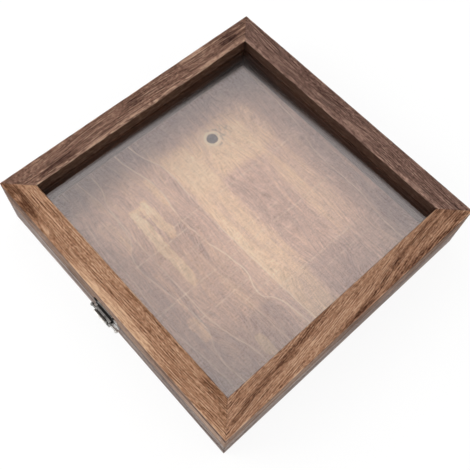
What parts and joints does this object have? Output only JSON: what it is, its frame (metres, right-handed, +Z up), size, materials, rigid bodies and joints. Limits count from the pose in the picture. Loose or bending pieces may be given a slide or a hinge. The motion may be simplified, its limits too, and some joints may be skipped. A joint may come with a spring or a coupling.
{
  "type": "insect display case",
  "caption": "Shallow square wooden case with a hinged glazed lid and a small front latch, for mounted insects or other flat collections.",
  "frame": {"origin": "centre of the flat underside of the case", "axes": "+Z up through the lid, -Y towards the latch at the front, +X to the right seen from the front"},
  "size_m": [0.305, 0.3177, 0.0655],
  "materials": {
    "case_wood": "dark stained open-grain wood, satin",
    "lid_wood": "walnut-stained open-grain wood, satin",
    "stop_wood": "dark stained wood strip",
    "panel_plywood": "lightly stained plywood",
    "glass": "clear float glass",
    "steel_brads": "dull steel",
    "hinge_metal": "antiqued metal",
    "latch_metal": "antiqued silver"
  },
  "bodies": {
    "case": {"bottom_panel": "panel_plywood", "case_corner_brads": "steel_brads", "case_rail_back": "case_wood", "case_rail_front": "case_wood", "case_rail_left": "case_wood", "case_rail_right": "case_wood", "hinge_case_leaf_left": "hinge_metal", "hinge_case_leaf_right": "hinge_metal", "hinge_case_screws": "hinge_metal", "hinge_pin_left": "hinge_metal", "hinge_pin_right": "hinge_metal", "latch_base_plate": "latch_metal", "latch_base_screws": "latch_metal", "latch_pin": "latch_metal", "panel_brads": "steel_brads"},
    "lid": {"glass_pane": "glass", "glass_stop_back": "stop_wood", "glass_stop_brads": "steel_brads", "glass_stop_front": "stop_wood", "glass_stop_left": "stop_wood", "glass_stop_right": "stop_wood", "hinge_lid_leaf_left": "hinge_metal", "hinge_lid_leaf_right": "hinge_metal", "hinge_lid_screws": "hinge_metal", "latch_keeper": "latch_metal", "latch_keeper_screws": "latch_metal", "lid_corner_brads": "steel_brads", "lid_rail_back": "lid_wood", "lid_rail_front": "lid_wood", "lid_rail_left": "lid_wood", "lid_rail_right": "lid_wood"},
    "latch_lever": {"latch_lever": "latch_metal"}
  },
  "joints": [
    {"name": "lid_hinge", "type": "hinge", "parent": "case", "child": "lid", "pos_m": [0, 0.1547, 0.034], "axis": [-1, 0, 0], "range_deg": [0, 180]},
    {"name": "latch_pivot", "type": "hinge", "parent": "case", "child": "latch_lever", "pos_m": [-0.0025, -0.1564, 0.028], "axis": [1, 0, 0], "range_deg": [0, 150]}
  ]
}
